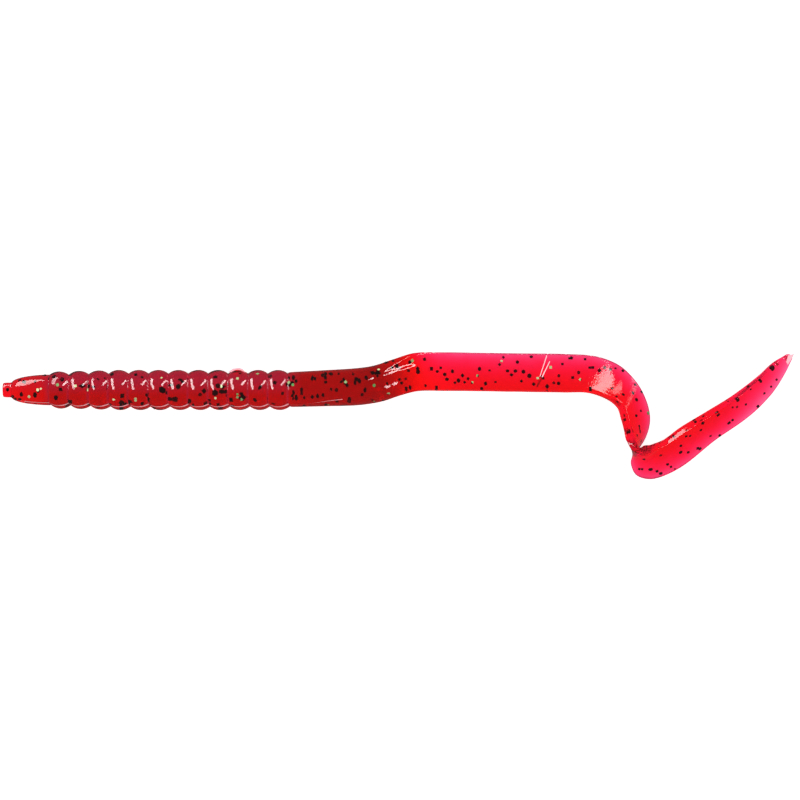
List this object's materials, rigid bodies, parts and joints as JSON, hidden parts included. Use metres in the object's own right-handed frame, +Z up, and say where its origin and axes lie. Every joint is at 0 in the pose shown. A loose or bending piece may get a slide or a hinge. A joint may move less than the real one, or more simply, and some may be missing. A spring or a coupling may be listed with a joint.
{
  "type": "soft plastic worm",
  "caption": "Soft plastic fishing worm with a ringed round body and a thin twisted ribbon tail, clear red with dark glitter, flexing at its grooves and along its tail.",
  "frame": {"origin": "middle of the worm's box, on the surface it lies on", "axes": "+X from the nose towards the tail, +Z up from the surface"},
  "size_m": [0.237, 0.0382, 0.0121],
  "materials": {
    "body_plastic": "glossy clear red soft plastic",
    "ribbon_plastic": "glossy clear bright red soft plastic",
    "black_flake": "black glitter",
    "gold_flake": "green-gold glitter"
  },
  "bodies": {
    "head": {"head": "body_plastic"},
    "ring_01": {"ring_01": "body_plastic"},
    "ring_02": {"ring_02": "body_plastic"},
    "ring_03": {"ring_03": "body_plastic"},
    "ring_04": {"ring_04": "body_plastic"},
    "ring_05": {"ring_05": "body_plastic"},
    "ring_06": {"ring_06": "body_plastic"},
    "ring_07": {"ring_07": "body_plastic"},
    "ring_08": {"ring_08": "body_plastic"},
    "ring_09": {"ring_09": "body_plastic"},
    "ring_10": {"ring_10": "body_plastic"},
    "ring_11": {"ring_11": "body_plastic"},
    "ring_12": {"ring_12": "body_plastic"},
    "body_front": {"body_front": "body_plastic"},
    "body_rear": {"body_rear": "body_plastic"},
    "tail_root": {"tail_root": "body_plastic"},
    "ribbon_01": {"ribbon_01": "ribbon_plastic"},
    "ribbon_02": {"ribbon_02": "ribbon_plastic"},
    "ribbon_03": {"ribbon_03": "ribbon_plastic"},
    "ribbon_04": {"ribbon_04": "ribbon_plastic"},
    "ribbon_05": {"ribbon_05": "ribbon_plastic"},
    "ribbon_06": {"ribbon_06": "ribbon_plastic"},
    "ribbon_07": {"ribbon_07": "ribbon_plastic"},
    "ribbon_08": {"ribbon_08": "ribbon_plastic"},
    "ribbon_09": {"ribbon_09": "ribbon_plastic"},
    "ribbon_10": {"ribbon_10": "ribbon_plastic"},
    "ribbon_11": {"ribbon_11": "ribbon_plastic"},
    "ribbon_12": {"ribbon_12": "ribbon_plastic"},
    "ribbon_tip": {"ribbon_tip": "ribbon_plastic"}
  },
  "joints": [
    {"name": "front_sway", "type": "hinge", "parent": "body_front", "child": "ring_12", "pos_m": [-0.03306, 0.0077, 0.00606], "axis": [0, -0.0175, 0.9998], "range_deg": [-9, 9], "stiffness_Nm_per_rad": 0.008},
    {"name": "front_lift", "type": "hinge", "parent": "ring_12", "child": "ring_11", "pos_m": [-0.03903, 0.0077, 0.00606], "axis": [0, 0.9998, 0.0175], "range_deg": [0, 9], "stiffness_Nm_per_rad": 0.008},
    {"name": "ring_10_sway", "type": "hinge", "parent": "ring_11", "child": "ring_10", "pos_m": [-0.045, 0.0077, 0.00606], "axis": [0, -0.0175, 0.9998], "range_deg": [-9, 9], "stiffness_Nm_per_rad": 0.008},
    {"name": "ring_09_lift", "type": "hinge", "parent": "ring_10", "child": "ring_09", "pos_m": [-0.05097, 0.0077, 0.00606], "axis": [0, 0.9998, 0.0175], "range_deg": [0, 9], "stiffness_Nm_per_rad": 0.008},
    {"name": "ring_08_sway", "type": "hinge", "parent": "ring_09", "child": "ring_08", "pos_m": [-0.05694, 0.0077, 0.00606], "axis": [0, -0.0175, 0.9998], "range_deg": [-9, 9], "stiffness_Nm_per_rad": 0.008},
    {"name": "ring_07_lift", "type": "hinge", "parent": "ring_08", "child": "ring_07", "pos_m": [-0.06291, 0.0077, 0.00606], "axis": [0, 0.9998, 0.0175], "range_deg": [0, 9], "stiffness_Nm_per_rad": 0.008},
    {"name": "ring_06_sway", "type": "hinge", "parent": "ring_07", "child": "ring_06", "pos_m": [-0.06888, 0.0077, 0.00606], "axis": [0, -0.0175, 0.9998], "range_deg": [-9, 9], "stiffness_Nm_per_rad": 0.008},
    {"name": "ring_05_lift", "type": "hinge", "parent": "ring_06", "child": "ring_05", "pos_m": [-0.07485, 0.0077, 0.00606], "axis": [0, 0.9998, 0.0175], "range_deg": [0, 9], "stiffness_Nm_per_rad": 0.008},
    {"name": "ring_04_sway", "type": "hinge", "parent": "ring_05", "child": "ring_04", "pos_m": [-0.08082, 0.0077, 0.00606], "axis": [0, -0.0175, 0.9998], "range_deg": [-9, 9], "stiffness_Nm_per_rad": 0.008},
    {"name": "ring_03_lift", "type": "hinge", "parent": "ring_04", "child": "ring_03", "pos_m": [-0.08679, 0.0077, 0.00606], "axis": [0, 0.9998, 0.0175], "range_deg": [0, 9], "stiffness_Nm_per_rad": 0.008},
    {"name": "ring_02_sway", "type": "hinge", "parent": "ring_03", "child": "ring_02", "pos_m": [-0.09276, 0.0077, 0.00606], "axis": [0, -0.0175, 0.9998], "range_deg": [-9, 9], "stiffness_Nm_per_rad": 0.008},
    {"name": "ring_01_lift", "type": "hinge", "parent": "ring_02", "child": "ring_01", "pos_m": [-0.09873, 0.0077, 0.00606], "axis": [0, 0.9998, 0.0175], "range_deg": [0, 9], "stiffness_Nm_per_rad": 0.008},
    {"name": "head_sway", "type": "hinge", "parent": "ring_01", "child": "head", "pos_m": [-0.1047, 0.0077, 0.00606], "axis": [0, -0.0175, 0.9998], "range_deg": [-9, 9], "stiffness_Nm_per_rad": 0.008},
    {"name": "rear_sway", "type": "hinge", "parent": "body_front", "child": "body_rear", "pos_m": [-0.02092, 0.00828, 0.00595], "axis": [0, -0.0175, 0.9998], "range_deg": [-9, 9], "stiffness_Nm_per_rad": 0.008},
    {"name": "rear_lift", "type": "hinge", "parent": "body_rear", "child": "tail_root", "pos_m": [-0.00876, 0.0091, 0.00582], "axis": [0, -0.9998, -0.0174], "range_deg": [0, 9], "stiffness_Nm_per_rad": 0.008},
    {"name": "ribbon_01_sway", "type": "hinge", "parent": "tail_root", "child": "ribbon_01", "pos_m": [0.00599, 0.01321, 0.00477], "axis": [0, -0.0175, 0.9998], "range_deg": [-9, 9], "stiffness_Nm_per_rad": 0.008},
    {"name": "ribbon_02_lift", "type": "hinge", "parent": "ribbon_01", "child": "ribbon_02", "pos_m": [0.01862, 0.01336, 0.00177], "axis": [0.0159, -0.9952, 0.0965], "range_deg": [0, 9], "stiffness_Nm_per_rad": 0.0015},
    {"name": "ribbon_03_lift", "type": "hinge", "parent": "ribbon_02", "child": "ribbon_03", "pos_m": [0.03156, 0.01318, 0.00108], "axis": [0.0003, -0.993, 0.1179], "range_deg": [0, 9], "stiffness_Nm_per_rad": 0.0015},
    {"name": "ribbon_04_lift", "type": "hinge", "parent": "ribbon_03", "child": "ribbon_04", "pos_m": [0.04456, 0.013, 0.00108], "axis": [-0.0056, -0.9931, 0.1173], "range_deg": [0, 9], "stiffness_Nm_per_rad": 0.0015},
    {"name": "ribbon_curl", "type": "hinge", "parent": "ribbon_04", "child": "ribbon_05", "pos_m": [0.05753, 0.01263, 0.0016], "axis": [-0.2051, -0.9543, 0.2174], "range_deg": [0, 9], "stiffness_Nm_per_rad": 0.0015},
    {"name": "ribbon_06_curl", "type": "hinge", "parent": "ribbon_05", "child": "ribbon_06", "pos_m": [0.06519, 0.00999, 0.00247], "axis": [-0.3582, -0.8495, 0.3874], "range_deg": [0, 9], "stiffness_Nm_per_rad": 0.0015},
    {"name": "ribbon_07_curl", "type": "hinge", "parent": "ribbon_06", "child": "ribbon_07", "pos_m": [0.07043, 0.00398, 0.0036], "axis": [-0.5658, -0.5572, 0.6078], "range_deg": [0, 9], "stiffness_Nm_per_rad": 0.0015},
    {"name": "ribbon_fold", "type": "hinge", "parent": "ribbon_07", "child": "ribbon_08", "pos_m": [0.07234, -0.00388, 0.00462], "axis": [-0.5764, -0.2351, 0.7826], "range_deg": [-8, 8], "stiffness_Nm_per_rad": 0.0015},
    {"name": "ribbon_09_fold", "type": "hinge", "parent": "ribbon_08", "child": "ribbon_09", "pos_m": [0.07188, -0.01163, 0.00518], "axis": [0.2748, 0.2899, 0.9167], "range_deg": [-8, 8], "stiffness_Nm_per_rad": 0.0015},
    {"name": "tip_flick", "type": "hinge", "parent": "ribbon_09", "child": "ribbon_10", "pos_m": [0.07927, -0.01309, 0.00387], "axis": [-0.2425, -0.8203, -0.5179], "range_deg": [0, 10], "stiffness_Nm_per_rad": 0.0015},
    {"name": "ribbon_11_flick", "type": "hinge", "parent": "ribbon_10", "child": "ribbon_11", "pos_m": [0.0898, -0.00661, 0.00384], "axis": [0.1741, -0.7697, -0.6142], "range_deg": [0, 10], "stiffness_Nm_per_rad": 0.0015},
    {"name": "ribbon_12_flick", "type": "hinge", "parent": "ribbon_11", "child": "ribbon_12", "pos_m": [0.10002, 0.00037, 0.00314], "axis": [0.4364, -0.6622, -0.6091], "range_deg": [0, 10], "stiffness_Nm_per_rad": 0.0015},
    {"name": "ribbon_tip_flick", "type": "hinge", "parent": "ribbon_12", "child": "ribbon_tip", "pos_m": [0.10961, 0.00814, 0.00218], "axis": [0.5506, -0.6634, -0.5068], "range_deg": [0, 10], "stiffness_Nm_per_rad": 0.0003}
  ],
  "couplings": [
    {"joint": "ring_10_sway", "follows": "front_sway", "ratio": 1},
    {"joint": "ring_09_lift", "follows": "front_lift", "ratio": 1},
    {"joint": "ring_08_sway", "follows": "front_sway", "ratio": 1},
    {"joint": "ring_07_lift", "follows": "front_lift", "ratio": 1},
    {"joint": "ring_06_sway", "follows": "front_sway", "ratio": 1},
    {"joint": "ring_05_lift", "follows": "front_lift", "ratio": 1},
    {"joint": "ring_04_sway", "follows": "front_sway", "ratio": 1},
    {"joint": "ring_03_lift", "follows": "front_lift", "ratio": 1},
    {"joint": "ring_02_sway", "follows": "front_sway", "ratio": 1},
    {"joint": "ring_01_lift", "follows": "front_lift", "ratio": 1},
    {"joint": "head_sway", "follows": "front_sway", "ratio": 1},
    {"joint": "ribbon_01_sway", "follows": "rear_sway", "ratio": 1},
    {"joint": "ribbon_02_lift", "follows": "rear_lift", "ratio": 1},
    {"joint": "ribbon_03_lift", "follows": "rear_lift", "ratio": 1},
    {"joint": "ribbon_04_lift", "follows": "rear_lift", "ratio": 1},
    {"joint": "ribbon_06_curl", "follows": "ribbon_curl", "ratio": 1},
    {"joint": "ribbon_07_curl", "follows": "ribbon_curl", "ratio": 1},
    {"joint": "ribbon_09_fold", "follows": "ribbon_fold", "ratio": 1},
    {"joint": "ribbon_11_flick", "follows": "tip_flick", "ratio": 1},
    {"joint": "ribbon_12_flick", "follows": "tip_flick", "ratio": 1},
    {"joint": "ribbon_tip_flick", "follows": "tip_flick", "ratio": 1}
  ]
}
